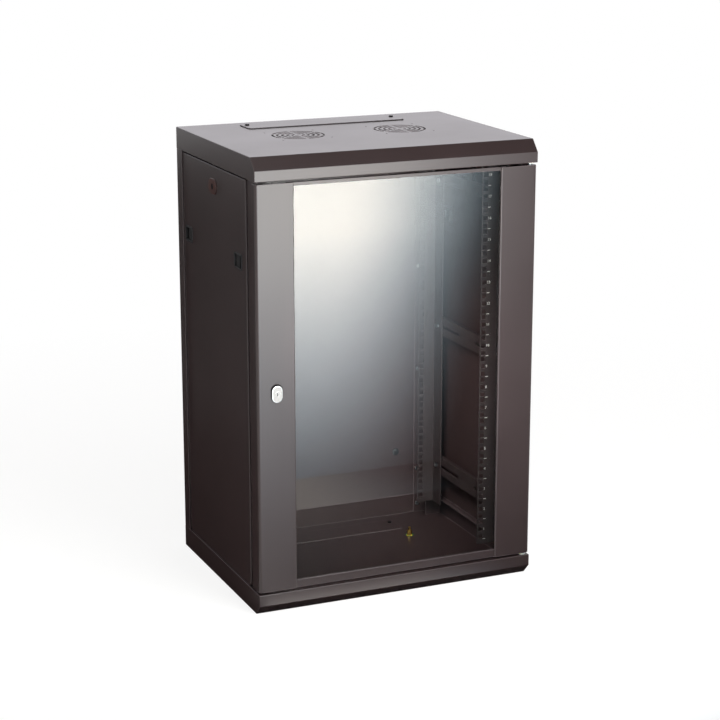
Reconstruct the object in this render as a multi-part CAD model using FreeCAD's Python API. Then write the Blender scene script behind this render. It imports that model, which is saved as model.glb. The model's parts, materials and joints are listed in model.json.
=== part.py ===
import FreeCAD, Part
import math
import os
from FreeCAD import Vector

# Wall cabinet for 19-inch equipment, in millimetres.
# The origin is at the bottom centre, +x is to the right, +y to the back and +z up.

# Overall size
rack_unit = 44.45
rack_units = 18
unit_margin = 12.45
cabinet_width = 600.0
cabinet_depth = 460.0
cover_height = 45.0
door_zone = 27.0

# Sheet metal and general clearances
sheet = 1.5
bend_radius = 2.3
pressed_edge = 1.2
slide_gap = 0.3
pin_gap = 0.05
screw_gap = 0.1

# Top and bottom covers
top_chamfer_depth = 21.5
top_chamfer_height = 24.0
bottom_chamfer_depth = 21.0
bottom_chamfer_height = 21.5
shelf_flange = 13.0
side_flange = 15.0

# Fan grilles in the top cover
fan_offset = 112.0
fan_setback = 250.0
fan_hole_pitch = 105.0
fan_hole_radius = 2.25
grille_rings = 5
grille_first_radius = 12.0
grille_ring_pitch = 10.0
grille_slot = 4.8
grille_bars = 3
grille_bar_width = 5.0

# Cable entries with their screwed covers
entry_width = 300.0
entry_depth = 44.0
entry_inset = 67.0
entry_cover_margin_x = 25.0
entry_cover_margin_y = 9.0
entry_cover_sheet = 2.0
entry_corner = 8.0
entry_screw_inset = 12.0
entry_screw_shift = 14.0

# Posts and back wall
front_post_inset = 5.5
front_post_depth = 28.0
front_post_flange = 22.5
rear_flange_depth = 32.5
post_setback = 1.0
post_overlap = 3.3
rear_screw_land = 17.0
wall_hole_radius = 5.0
wall_hole_spacing_x = 400.0
wall_hole_spacing_z = 615.0
panel_screw_count = 4
panel_screw_end = 60.0
cover_screw_inset = 22.0

# Rails on the 19-inch standard, which leave 450 clear in a cabinet 600 wide
side_space = 75.0
rail_hole_inset = 7.55
rail_square = 9.5
rail_hole_steps = (6.35, 22.225, 38.1)
rail_web = 40.0
rail_sheet = 2.0
rail_end_gap = 2.0
front_rail_setback = 95.0
rear_rail_setback = 65.0
front_rail_forward = 35.0
front_rail_back = 80.0
rear_rail_forward = 100.0
rear_rail_back = 20.0

# Brackets that carry the rails
bracket_setback = 34.7
bracket_sheet = 2.0
bracket_height = 40.0
bracket_flange = 8.0
bracket_tab = 17.0
bracket_end = 90.0

# Fasteners
bolt_radius = 3.0
bolt_flats = 10.0
bolt_head = 4.0
bolt_nut = 5.0
bolt_spare = 1.5
screw_radius = 2.5
screw_head_radius = 4.6
screw_head = 2.6
screw_spare = 6.0
screw_head_edge = 1.0

# Earth stud on the floor
stud_x = 172.0
stud_y = 90.0
stud_radius = 3.0
stud_height = 20.0
stud_foot_radius = 6.0
stud_foot = 1.5

# Door
door_setback = 1.0
door_depth = 20.0
door_side_gap = 1.0
door_gap = 5.0
door_edge_radius = 6.0
profile_width = 79.0
profile_lip = 3.5
profile_return = 14.0
glass_thickness = 5.0
glass_cover = 12.0
gasket_thickness = 1.5
gasket_width = 6.0
retainer_cover = 9.0
retainer_gap = 2.0
retainer_foot = 10.0
top_rail_height = 6.5
bottom_rail_height = 16.0

# Hinge
hinge_inset_x = 11.0
hinge_inset_y = 13.0
hinge_pin_radius = 4.0
bush_wall = 2.0
bush_collar = 2.0
bush_collar_height = 1.5
bush_length = 5.0
pin_reach = 4.0
pin_shoulder = 3.0
hinge_block_inner = 8.0
lower_block_height = 25.0
lower_pin_depth = 18.0
ear_thickness = 4.0
ear_spacing = 36.0
block_wall = 2.0
pin_collar_radius = 6.0
pin_collar_height = 3.0
pin_tail = 12.0
knob_radius = 5.6
knob_height = 8.0
window_margin = 6.0
spring_wire_radius = 0.6
spring_wire_sides = 12
spring_radius = 5.2
spring_turns = 7

# Door lock
lock_inset = 40.0
lock_drop = 460.0
lock_face_width = 22.0
lock_face_height = 34.0
lock_face_thickness = 3.0
lock_face_edge = 1.2
lock_gasket_thickness = 1.0
lock_gasket_rim = 1.2
lock_gasket_shift = 1.6
lock_barrel_radius = 9.5
lock_nut_flats = 24.0
lock_nut_thickness = 5.0
plug_radius = 6.0
plug_proud = 0.4
key_slot_width = 1.6
key_slot_length = 7.0
key_slot_depth = 8.0
spigot_radius = 4.0
cam_thickness = 2.5
cam_width = 14.0
cam_gap = 0.5
cam_clearance = 2.0
cam_reach = 28.0
cam_screw_flats = 10.0
cam_screw_head = 3.0

# Side panels
panel_inset = 2.5
panel_return = 11.0
panel_gap = 1.0
panel_top_gap = 3.5
panel_corner = 10.0
panel_edge = 1.4

# Latches of the side panels
latch_width = 40.0
latch_height = 30.0
latch_rim = 1.5
latch_rim_thickness = 1.2
latch_corner = 3.0
latch_wall = 2.0
latch_drop = 214.0
latch_front_inset = 45.0
latch_rear_inset = 32.0
latch_travel = 8.0
latch_nose_gap = 1.5
finger_length = 18.0
finger_sink = 1.0
finger_ribs = 3
rib_width = 1.6
rib_height = 0.8
neck_size = 8.0
tongue_width = 14.0
tongue_thickness = 3.5
tongue_clearance = 0.6

# Locks of the side panels
side_lock_drop = 90.0
side_lock_width = 46.0
side_lock_height = 31.0
side_lock_thickness = 2.0
side_lock_edge = 0.8
side_lock_radius = 11.0
side_lock_barrel = 17.0
side_cam_reach = 55.0

# Levels that follow from the sizes above
half_width = cabinet_width / 2
front_y = -cabinet_depth / 2
back_y = cabinet_depth / 2
cabinet_height = rack_units * rack_unit + 2 * (unit_margin + cover_height)
middle_z = cabinet_height / 2
upper_edge_z = cabinet_height - cover_height
frame_y = front_y + door_zone

front_post_x = half_width - front_post_inset
front_post_back_y = frame_y + front_post_depth
rear_flange_y = back_y - rear_flange_depth
rear_post_y = rear_flange_y + post_setback
inner_x = half_width - sheet
inner_back_y = back_y - sheet

panel_x = half_width - panel_inset
panel_back_x = panel_x - panel_return
panel_front_y = front_post_back_y + panel_gap
panel_rear_y = rear_flange_y - panel_gap
panel_low_z = cover_height + slide_gap
panel_top_z = upper_edge_z - panel_top_gap
panel_middle_y = (panel_front_y + panel_rear_y) / 2

rail_opening = cabinet_width - 2 * side_space
rail_inner_x = rail_opening / 2
bracket_x = half_width - bracket_setback
rail_outer_x = bracket_x - slide_gap
rail_low_z = cover_height + rail_end_gap
rail_top_z = upper_edge_z - rail_end_gap
first_unit_z = cover_height + unit_margin
front_rail_y = front_y + front_rail_setback
rear_rail_y = back_y - rear_rail_setback
front_bolt_y = front_rail_y + rail_web / 2
rear_bolt_y = rear_rail_y - rail_web / 2

bracket_back_x = bracket_x + bracket_sheet
post_inner_x = bracket_x - post_overlap
rear_screw_x = post_inner_x - rear_screw_land / 2
bracket_levels = {
    "lower": rail_low_z + bracket_end,
    "middle": (rail_low_z + rail_top_z) / 2,
    "upper": rail_top_z - bracket_end,
}
bracket_bolt_x = bracket_back_x + (bracket_tab - bracket_sheet) / 2

fan_y = front_y + fan_setback
entry_y = back_y - entry_inset
entry_screw_x = entry_width / 2 + entry_cover_margin_x - entry_screw_inset
entry_screw_y = entry_y + entry_screw_shift
front_screw_x = front_post_x - front_post_flange / 2
front_screw_z = upper_edge_z + sheet + shelf_flange / 2
rear_screw_z = cabinet_height - cover_screw_inset

door_front_y = front_y + door_setback
door_rear_y = door_front_y + door_depth
door_edge_x = half_width - door_side_gap
profile_inner_x = door_edge_x - profile_width
door_low_z = cover_height + door_gap
door_top_z = upper_edge_z - door_gap
lip_end_y = door_front_y + profile_lip
glass_front_y = lip_end_y + gasket_thickness
glass_rear_y = glass_front_y + glass_thickness
glass_edge_x = profile_inner_x + glass_cover
glass_low_z = door_low_z + sheet
glass_top_z = door_top_z - sheet
rail_strip_low_z = door_low_z + bottom_rail_height
rail_strip_top_z = door_top_z - top_rail_height

hinge_x = half_width - hinge_inset_x
hinge_y = front_y + hinge_inset_y
bush_radius = hinge_pin_radius + bush_wall
upper_pin_top_z = upper_edge_z + sheet + pin_reach
upper_pin_travel = upper_pin_top_z - door_top_z
lower_ear_z = door_top_z - ear_thickness - ear_spacing
pin_collar_z = door_top_z - ear_thickness - slide_gap
pin_tail_z = lower_ear_z - ear_thickness - upper_pin_travel - pin_tail + knob_height

lock_x = -(door_edge_x - lock_inset)
lock_z = cabinet_height - lock_drop
lock_face_back_y = door_front_y - lock_gasket_thickness
lock_front_y = lock_face_back_y - lock_face_thickness
cam_front_y = frame_y + sheet + cam_clearance

latch_z = cabinet_height - latch_drop
latch_places = {
    "front": (panel_front_y + latch_front_inset, -1),
    "rear": (panel_rear_y - latch_rear_inset, 1),
}
cup_back_x = panel_back_x - slide_gap
cup_floor_x = cup_back_x + latch_wall
tongue_x = cup_back_x - slide_gap - tongue_thickness
side_lock_z = cabinet_height - side_lock_drop

FLAT_AXES = {"x": (1, 2, 0), "y": (0, 2, 1), "z": (0, 1, 2)}


# Helpers for flat outlines and plain solids

def in_space(axis, across, along, level):
    """Place a flat point: an x prism is drawn in y-z, a y prism in x-z and a z prism in x-y."""
    place = [0.0, 0.0, 0.0]
    first, second, third = FLAT_AXES[axis]
    place[first] = across
    place[second] = along
    place[third] = level
    return Vector(*place)


def unit(start, end):
    """Direction from one flat point to another."""
    step = Vector(end[0] - start[0], end[1] - start[1], 0)
    return step.normalize()


def prism(axis, outline, low, high):
    """Extrude a closed outline of (u, v) or (u, v, corner radius) points along an axis."""
    ends = []
    count = len(outline)
    for index, corner in enumerate(outline):
        radius = corner[2] if len(corner) > 2 else 0.0
        to_last = unit(corner, outline[index - 1])
        to_next = unit(corner, outline[(index + 1) % count])
        spot = Vector(corner[0], corner[1], 0)
        if radius <= 0:
            ends.append([spot])
            continue
        half_angle = to_last.getAngle(to_next) / 2
        tangent = radius / math.tan(half_angle)
        inward = (to_last + to_next).normalize()
        middle = spot + inward * (radius / math.sin(half_angle) - radius)
        ends.append([spot + to_last * tangent, middle, spot + to_next * tangent])
    edges = []
    for index, marks in enumerate(ends):
        corner = [in_space(axis, mark.x, mark.y, low) for mark in marks]
        if len(corner) == 3:
            edges.append(Part.Arc(*corner).toShape())
        following = ends[(index + 1) % count][0]
        start = corner[-1]
        end = in_space(axis, following.x, following.y, low)
        if start.distanceToPoint(end) > 1e-6:
            edges.append(Part.LineSegment(start, end).toShape())
    return Part.Face(Part.Wire(edges)).extrude(in_space(axis, 0, 0, high - low))


def offset_path(path, distance):
    """Move an open path to its left by a distance, with mitred corners."""
    normals = []
    for start, end in zip(path, path[1:]):
        along = unit(start, end)
        normals.append(Vector(-along.y, along.x, 0))
    moved = []
    for index, point in enumerate(path):
        before = normals[max(index - 1, 0)]
        after = normals[min(index, len(normals) - 1)]
        shift = (before + after) * (distance / (1 + before.dot(after)))
        moved.append((point[0] + shift.x, point[1] + shift.y))
    return moved


def folded(axis, path, low, high, thickness=sheet):
    """Sheet folded along a path, with the metal to the left and a rounded bend at each corner."""
    far = offset_path(path, thickness)
    near_side = [path[0]]
    far_side = [far[0]]
    for index in range(1, len(path) - 1):
        before = unit(path[index - 1], path[index])
        after = unit(path[index], path[index + 1])
        outer = path[index][2] if len(path[index]) > 2 else bend_radius
        inner = max(outer - thickness, 0.0)
        turns_left = before.x * after.y - before.y * after.x > 0
        near_radius, far_radius = (outer, inner) if turns_left else (inner, outer)
        near_side.append((path[index][0], path[index][1], near_radius))
        far_side.append((far[index][0], far[index][1], far_radius))
    near_side.append(path[-1])
    far_side.append(far[-1])
    return prism(axis, near_side + far_side[::-1], low, high)


def box(x_range, y_range, z_range):
    """Box between two levels on each axis."""
    corner = Vector(min(x_range), min(y_range), min(z_range))
    lengths = [abs(ends[1] - ends[0]) for ends in (x_range, y_range, z_range)]
    return Part.makeBox(*lengths, corner)


def around(middle, size):
    """Range of a size centred on a level."""
    return (middle - size / 2, middle + size / 2)


def rod(axis, across, along, low, high, radius):
    """Cylinder along an axis between two levels."""
    start = in_space(axis, across, along, min(low, high))
    return Part.makeCylinder(radius, abs(high - low), start, in_space(axis, 0, 0, 1))


def hexagon(axis, across, along, low, high, flats):
    """Hexagonal prism with a given width across its flats."""
    radius = flats / math.sqrt(3)
    corners = []
    for step in range(6):
        angle = math.radians(60 * step + 30)
        corners.append((across + radius * math.cos(angle), along + radius * math.sin(angle)))
    return prism(axis, corners, min(low, high), max(low, high))


def plate_outline(middle, size, radius):
    """Rectangle with rounded corners, as an outline."""
    left, right = around(middle[0], size[0])
    low, high = around(middle[1], size[1])
    return [(left, low, radius), (right, low, radius), (right, high, radius), (left, high, radius)]


def slot_outline(middle, size):
    """Slot with fully round ends, as an outline."""
    return plate_outline(middle, size, min(size) / 2)


def soften(shape, radius, chosen):
    """Round the edges that a test picks out."""
    return shape.makeFillet(radius, [edge for edge in shape.Edges if chosen(edge.BoundBox)])


def mirrored(shape):
    """The same piece for the other side of the cabinet."""
    return shape.mirror(Vector(0, 0, 0), Vector(1, 0, 0))


def turned_over(shape):
    """The same piece at the other end of the cabinet's height."""
    return shape.mirror(Vector(0, 0, middle_z), Vector(0, 0, 1))


def save(name, *solids):
    """Write one node: a single solid or a group of separate ones."""
    shape = solids[0] if len(solids) == 1 else Part.makeCompound(list(solids))
    shape.exportStep(f"parts/{name}.step")


def save_pair(name, *solids):
    """Write the right-hand piece and its mirror image."""
    save(f"right_{name}", *solids)
    save(f"left_{name}", *[mirrored(solid) for solid in solids])


def pan_screw(axis, across, along, seat, tip):
    """Screw with a rounded head on a seat and its point at the tip."""
    outward = math.copysign(1, seat - tip)
    head = rod(axis, across, along, seat, seat + outward * screw_head, screw_head_radius)
    rim = in_space(axis, across, along, seat + outward * screw_head)
    top = [edge for edge in head.Edges if edge.CenterOfMass.distanceToPoint(rim) < 1e-3]
    head = head.makeFillet(screw_head_edge, top[:1])
    return head.fuse(rod(axis, across, along, seat, tip, screw_radius)).removeSplitter()


def hex_bolt(axis, across, along, seat, tip):
    """Hexagon bolt with its head on a seat."""
    outward = math.copysign(1, seat - tip)
    head = hexagon(axis, across, along, seat, seat + outward * bolt_head, bolt_flats)
    return head.fuse(rod(axis, across, along, seat, tip, bolt_radius)).removeSplitter()


def hex_nut(axis, across, along, seat, outward):
    """Nut that stands on a seat, around a bolt."""
    end = seat + outward * bolt_nut
    nut = hexagon(axis, across, along, seat, end, bolt_flats)
    return nut.cut(rod(axis, across, along, seat, end, bolt_radius + pin_gap))


# Top and bottom covers

def cover_shell(chamfer_depth, chamfer_height):
    """Folded tray with skirts, a chamfered front lip, a shelf over the door and side flanges."""
    rim = bend_radius
    path = [
        (back_y, upper_edge_z),
        (back_y, cabinet_height, rim),
        (front_y + chamfer_depth, cabinet_height, rim),
        (front_y, cabinet_height - chamfer_height, rim),
        (front_y, upper_edge_z),
    ]
    outer = prism("x", path[:-1] + [(front_y, upper_edge_z, pressed_edge)], -half_width, half_width)

    def on_side(bounds):
        return bounds.XLength < 1e-6 and bounds.ZMax > upper_edge_z + 1e-6

    outer = soften(outer, pressed_edge, on_side)
    inner = offset_path(path, sheet)
    shelf_z = upper_edge_z + sheet
    below_z = upper_edge_z - sheet
    hollow = inner[1:4] + [
        (inner[4][0], shelf_z),
        (frame_y - sheet, shelf_z),
        (frame_y - sheet, shelf_z + shelf_flange),
        (frame_y, shelf_z + shelf_flange),
        (frame_y, below_z),
        (inner[0][0], below_z),
    ]
    shell = outer.cut(prism("x", hollow, -inner_x, inner_x))
    for side in (-1, 1):
        flange_x = (side * (inner_x - side_flange), side * inner_x)
        shell = shell.fuse(box(flange_x, (panel_front_y, panel_rear_y), (upper_edge_z, shelf_z)))
    return shell.removeSplitter()


def cover_holes():
    """Holes that both covers share: hinge bush, post screws and cable entry."""
    through = 2 * sheet
    holes = [rod("z", hinge_x, hinge_y, upper_edge_z - through, upper_edge_z + through, bush_radius)]
    for side in (-1, 1):
        spot = (side * front_screw_x, front_screw_z)
        holes.append(rod("y", *spot, frame_y - through, frame_y, screw_radius + screw_gap))
        spot = (side * rear_screw_x, rear_screw_z)
        holes.append(rod("y", *spot, inner_back_y, back_y, screw_radius + screw_gap))
        spot = (side * entry_screw_x, entry_screw_y)
        holes.append(rod("z", *spot, cabinet_height - through, cabinet_height, screw_radius + screw_gap))
    entry = plate_outline((0, entry_y), (entry_width, entry_depth), entry_corner)
    holes.append(prism("z", entry, cabinet_height - through, cabinet_height))
    return Part.makeCompound(holes)


def fan_grille(side):
    """Ring slots with crossing bars left in the sheet, and the four holes of a fan."""
    low, high = cabinet_height - 2 * sheet, cabinet_height
    spot = (side * fan_offset, fan_y)
    rings = []
    for ring in range(grille_rings):
        radius = grille_first_radius + ring * grille_ring_pitch
        outer = rod("z", *spot, low, high, radius + grille_slot / 2)
        rings.append(outer.cut(rod("z", *spot, low, high, radius - grille_slot / 2)))
    reach = 2 * (grille_first_radius + grille_rings * grille_ring_pitch)
    bars = []
    for bar in range(grille_bars):
        strip = box(around(spot[0], grille_bar_width), around(spot[1], reach), (low, high))
        strip.rotate(Vector(*spot, low), Vector(0, 0, 1), 180 * bar / grille_bars)
        bars.append(strip)
    slots = Part.makeCompound(rings).cut(Part.makeCompound(bars))
    holes = []
    for x in around(spot[0], fan_hole_pitch):
        for y in around(spot[1], fan_hole_pitch):
            holes.append(rod("z", x, y, low, high, fan_hole_radius))
    return Part.makeCompound([slots] + holes)


def cable_cover(seat_z):
    """Flat plate over a cable entry, standing on a seat."""
    size = (entry_width + 2 * entry_cover_margin_x, entry_depth + 2 * entry_cover_margin_y)
    top_z = seat_z + entry_cover_sheet
    plate = prism("z", plate_outline((0, entry_y), size, entry_corner), seat_z, top_z)
    for side in (-1, 1):
        spot = (side * entry_screw_x, entry_screw_y)
        plate = plate.cut(rod("z", *spot, seat_z, top_z, screw_radius + screw_gap))
    return plate


def make_covers():
    top = cover_shell(top_chamfer_depth, top_chamfer_height).cut(cover_holes())
    for side in (-1, 1):
        top = top.cut(fan_grille(side))
    save("top_cover", top)

    bottom = turned_over(cover_shell(bottom_chamfer_depth, bottom_chamfer_height).cut(cover_holes()))
    bottom = bottom.cut(rod("z", stud_x, stud_y, 0, sheet, stud_radius + pin_gap))
    save("bottom_cover", bottom)

    save("top_cable_cover", cable_cover(cabinet_height))
    save("bottom_cable_cover", cable_cover(sheet))
    screws = []
    for seat_z in (cabinet_height + entry_cover_sheet, sheet + entry_cover_sheet):
        tip_z = seat_z - entry_cover_sheet - sheet
        for side in (-1, 1):
            screws.append(pan_screw("z", side * entry_screw_x, entry_screw_y, seat_z, tip_z))
    save("cable_cover_screws", *screws)


# Posts, back wall and brackets

def tongue_slot(front):
    """Hole in a post's flange for the tongue of a latch."""
    flange_y = front_post_back_y if front else rear_post_y
    x_range = (tongue_x - tongue_clearance, tongue_x + tongue_thickness + tongue_clearance)
    z_range = around(latch_z, tongue_width + 2 * tongue_clearance)
    return box(x_range, around(flange_y, 4 * sheet), z_range)


def post_hole(across, level, low, high):
    """Screw hole through a post, along the depth."""
    return rod("y", across, level, low, high, screw_radius + screw_gap)


def front_post():
    """C post behind the door: narrow front flange, side face and a wide rear flange."""
    path = [
        (front_post_x - front_post_flange, frame_y),
        (front_post_x, frame_y),
        (front_post_x, front_post_back_y),
        (post_inner_x, front_post_back_y),
    ]
    post = folded("z", path, sheet, cabinet_height - sheet)
    for level in (front_screw_z, cabinet_height - front_screw_z):
        post = post.cut(post_hole(front_screw_x, level, frame_y, frame_y + sheet))
    for level in bracket_levels.values():
        post = post.cut(bracket_bolt_hole(level, front_post_back_y - sheet, front_post_back_y))
    return post.cut(tongue_slot(True))


def rear_post():
    """C post in the rear corner, with a wider rear flange that takes the screws from inside."""
    path = [
        (post_inner_x, rear_post_y),
        (inner_x, rear_post_y),
        (inner_x, inner_back_y),
        (post_inner_x - rear_screw_land, inner_back_y),
    ]
    post = folded("z", path, sheet, cabinet_height - sheet)
    levels = [rear_screw_z, cabinet_height - rear_screw_z] + panel_screw_levels()
    for level in levels:
        post = post.cut(post_hole(rear_screw_x, level, inner_back_y - sheet, inner_back_y))
    for level in bracket_levels.values():
        post = post.cut(bracket_bolt_hole(level, rear_post_y, rear_post_y + sheet))
    return post.cut(tongue_slot(False))


def panel_screw_levels():
    """Heights of the screws along each side of the back wall."""
    low = cover_height + panel_screw_end
    step = (cabinet_height - 2 * low) / (panel_screw_count - 1)
    return [low + step * index for index in range(panel_screw_count)]


def rear_panel():
    """Back wall with its two side flanges, its screw holes and four wall-fixing holes."""
    path = [
        (-half_width, rear_flange_y),
        (-half_width, back_y),
        (half_width, back_y),
        (half_width, rear_flange_y),
    ]
    panel = folded("z", path[::-1], cover_height, upper_edge_z)
    holes = []
    for side in (-1, 1):
        for level in panel_screw_levels():
            holes.append(post_hole(side * rear_screw_x, level, inner_back_y, back_y))
        for level in around(middle_z, wall_hole_spacing_z):
            spot = (side * wall_hole_spacing_x / 2, level)
            holes.append(rod("y", *spot, inner_back_y, back_y, wall_hole_radius))
    return panel.cut(Part.makeCompound(holes))


def bracket_bolt_hole(level, low, high):
    """Hole for the bolt between a bracket and a post."""
    return rod("y", bracket_bolt_x, level, low, high, bolt_radius + screw_gap)


def bracket(level):
    """Slotted channel along the depth, with a bolted tab at each post."""
    z_range = around(level, bracket_height)
    tab_x = bracket_x + bracket_tab
    flange_x = bracket_back_x + bracket_flange
    y_range = (front_post_back_y, rear_post_y)
    inside_y = (y_range[0] + bracket_sheet, y_range[1] - bracket_sheet)
    shape = box((bracket_x, tab_x), y_range, z_range)
    inside_z = around(level, bracket_height - 2 * bracket_sheet)
    shape = shape.cut(box((bracket_back_x, tab_x), inside_y, inside_z))
    shape = shape.cut(box((flange_x, tab_x), inside_y, z_range))
    height = 2 * (bolt_radius + slide_gap)
    spans = (
        (front_bolt_y - front_rail_forward, front_bolt_y + front_rail_back),
        (rear_bolt_y - rear_rail_forward, rear_bolt_y + rear_rail_back),
    )
    for start, end in spans:
        slot = slot_outline(((start + end) / 2, level), (end - start + height, height))
        shape = shape.cut(prism("x", slot, bracket_x, bracket_back_x))
    for low, high in ((y_range[0], inside_y[0]), (inside_y[1], y_range[1])):
        shape = shape.cut(bracket_bolt_hole(level, low, high))
    return shape.removeSplitter()


def make_frame():
    save_pair("front_post", front_post())
    save_pair("rear_post", rear_post())
    save("rear_panel", rear_panel())
    bolts = []
    for name, level in bracket_levels.items():
        save_pair(f"{name}_bracket", bracket(level))
        ends = ((front_post_back_y, -1), (rear_post_y, 1))
        for flange_y, outward in ends:
            seat_y = flange_y - outward * bracket_sheet
            nut_y = flange_y + outward * sheet
            tip_y = nut_y + outward * (bolt_nut + bolt_spare)
            bolts.append(hex_bolt("y", bracket_bolt_x, level, seat_y, tip_y))
            bolts.append(hex_nut("y", bracket_bolt_x, level, nut_y, outward))
    save("bracket_bolts", *bolts, *[mirrored(bolt) for bolt in bolts])

    screws = []
    for level in (front_screw_z, cabinet_height - front_screw_z):
        seat_y = frame_y - sheet
        screws.append(pan_screw("y", front_screw_x, level, seat_y, seat_y + screw_spare))
    rear_seat_y = inner_back_y - sheet
    for level in (rear_screw_z, cabinet_height - rear_screw_z):
        screws.append(pan_screw("y", rear_screw_x, level, rear_seat_y, back_y))
    save("frame_screws", *screws, *[mirrored(screw) for screw in screws])
    screws = []
    for level in panel_screw_levels():
        screws.append(pan_screw("y", rear_screw_x, level, rear_seat_y, back_y))
    save("rear_panel_screws", *screws, *[mirrored(screw) for screw in screws])

    spot = (stud_x, stud_y)
    stud = rod("z", *spot, 0, stud_height, stud_radius)
    foot_z = sheet + stud_foot
    stud = stud.fuse(rod("z", *spot, sheet, foot_z, stud_foot_radius)).removeSplitter()
    upper_nut = hex_nut("z", *spot, foot_z + bolt_nut, 1)
    save("earth_stud", stud, hex_nut("z", *spot, foot_z, 1), upper_nut)


# Rails

def rail(front):
    """Angle rail with three square holes in each rack unit and a bolt hole at each bracket."""
    face_y = front_rail_y if front else rear_rail_y
    back = 1 if front else -1
    path = [(rail_inner_x, face_y), (rail_outer_x, face_y), (rail_outer_x, face_y + back * rail_web)]
    if not front:
        path = path[::-1]
    shape = folded("z", path, rail_low_z, rail_top_z, rail_sheet)
    holes = []
    depth = (face_y, face_y + back * rail_sheet)
    for number in range(rack_units):
        for step in rail_hole_steps:
            level = first_unit_z + number * rack_unit + step
            x_range = around(rail_inner_x + rail_hole_inset, rail_square)
            holes.append(box(x_range, depth, around(level, rail_square)))
    bolt_y = front_bolt_y if front else rear_bolt_y
    for level in bracket_levels.values():
        spot = (bolt_y, level)
        holes.append(rod("x", *spot, rail_outer_x - rail_sheet, rail_outer_x, bolt_radius + screw_gap))
    return shape.cut(Part.makeCompound(holes))


def make_rails():
    for end, bolt_y in (("front", front_bolt_y), ("rear", rear_bolt_y)):
        save_pair(f"{end}_rail", rail(end == "front"))
        fasteners = []
        for level in bracket_levels.values():
            nut_x = bracket_back_x + slide_gap
            tip_x = nut_x + bolt_nut + bolt_spare
            fasteners.append(hex_bolt("x", bolt_y, level, rail_outer_x - rail_sheet, tip_x))
            fasteners.append(hex_nut("x", bolt_y, level, nut_x, 1))
        save_pair(f"{end}_rail_bolts", *fasteners)


# Door

def door_profile():
    """Wide hollow profile: inner lip, front face, rounded outer edge and rear return."""
    path = [
        (profile_inner_x, lip_end_y),
        (profile_inner_x, door_front_y),
        (door_edge_x, door_front_y, door_edge_radius),
        (door_edge_x, door_rear_y),
        (door_edge_x - profile_return, door_rear_y),
    ]
    return folded("z", path, door_low_z, door_top_z)


def glass_pane():
    """Flat pane of the door."""
    glass_x = (-glass_edge_x, glass_edge_x)
    return box(glass_x, (glass_front_y, glass_rear_y), (glass_low_z, glass_top_z))


def glass_channel(low, high):
    """U channel that holds the glass along its upper or lower edge."""
    x_range = (-glass_edge_x, glass_edge_x)
    channel = box(x_range, (glass_front_y - sheet, glass_rear_y + sheet), (low, high))
    return channel.cut(glass_pane())


def hinge_block(low, high):
    """Block that fills the end of the right profile around the hinge line."""
    outline = [
        (hinge_x - hinge_block_inner, door_front_y + sheet),
        (door_edge_x - sheet, door_front_y + sheet, door_edge_radius - sheet),
        (door_edge_x - sheet, door_rear_y - sheet, bend_radius),
        (hinge_x - hinge_block_inner, door_rear_y - sheet),
    ]
    return prism("z", outline, low, high)


def make_door_frame():
    right = door_profile()
    knob_low_z = pin_tail_z - knob_height
    window_z = (knob_low_z - upper_pin_travel - window_margin, pin_tail_z + window_margin)
    window_x = (door_edge_x - profile_return, door_edge_x - bend_radius)
    right = right.cut(box(window_x, (door_rear_y - sheet, door_rear_y), window_z))
    save("door_right_profile", right)
    left = mirrored(door_profile())
    bore = rod("y", lock_x, lock_z, door_front_y, door_front_y + sheet, lock_barrel_radius + screw_gap)
    save("door_left_profile", left.cut(bore))

    save("door_bottom_rail", glass_channel(door_low_z, rail_strip_low_z))
    save("door_top_rail", glass_channel(rail_strip_top_z, door_top_z))
    save("door_glass", glass_pane())
    strip_z = (rail_strip_low_z, rail_strip_top_z)
    gasket_x = (profile_inner_x, profile_inner_x + gasket_width)
    gasket = box(gasket_x, (lip_end_y, glass_front_y), strip_z)
    save("glass_gaskets", gasket, mirrored(gasket))
    web_x = glass_edge_x + retainer_gap
    path = [
        (glass_edge_x - retainer_cover, glass_rear_y),
        (web_x, glass_rear_y),
        (web_x, door_front_y + sheet),
        (web_x + retainer_foot, door_front_y + sheet),
    ]
    retainer = folded("z", path, *strip_z)
    save("glass_retainers", retainer, mirrored(retainer))


# Hinge

def bush():
    """Collared bush in the shelf of the top cover."""
    spot = (hinge_x, hinge_y)
    body = rod("z", *spot, upper_edge_z, upper_edge_z + bush_length, bush_radius - screw_gap)
    collar = rod("z", *spot, upper_edge_z - bush_collar_height, upper_edge_z, bush_radius + bush_collar)
    low = upper_edge_z - bush_collar_height
    bore = rod("z", *spot, low, upper_edge_z + bush_length, hinge_pin_radius + pin_gap)
    return body.fuse(collar).cut(bore).removeSplitter()


def hinge_spring():
    """Coil spring between the lower ear and the collar of the upper pin."""
    low = lower_ear_z + spring_wire_radius
    length = pin_collar_z - pin_collar_height - spring_wire_radius - low
    helix = Part.makeLongHelix(length / spring_turns, length, spring_radius)
    corners = []
    for side in range(spring_wire_sides):
        angle = 2 * math.pi * side / spring_wire_sides
        across = spring_radius + spring_wire_radius * math.cos(angle)
        corners.append(Vector(across, 0, spring_wire_radius * math.sin(angle)))
    section = Part.makePolygon(corners + corners[:1])
    coil = Part.Wire(helix.Edges).makePipeShell([section], True, True)
    coil.translate(Vector(hinge_x, hinge_y, low))
    return coil


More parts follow.
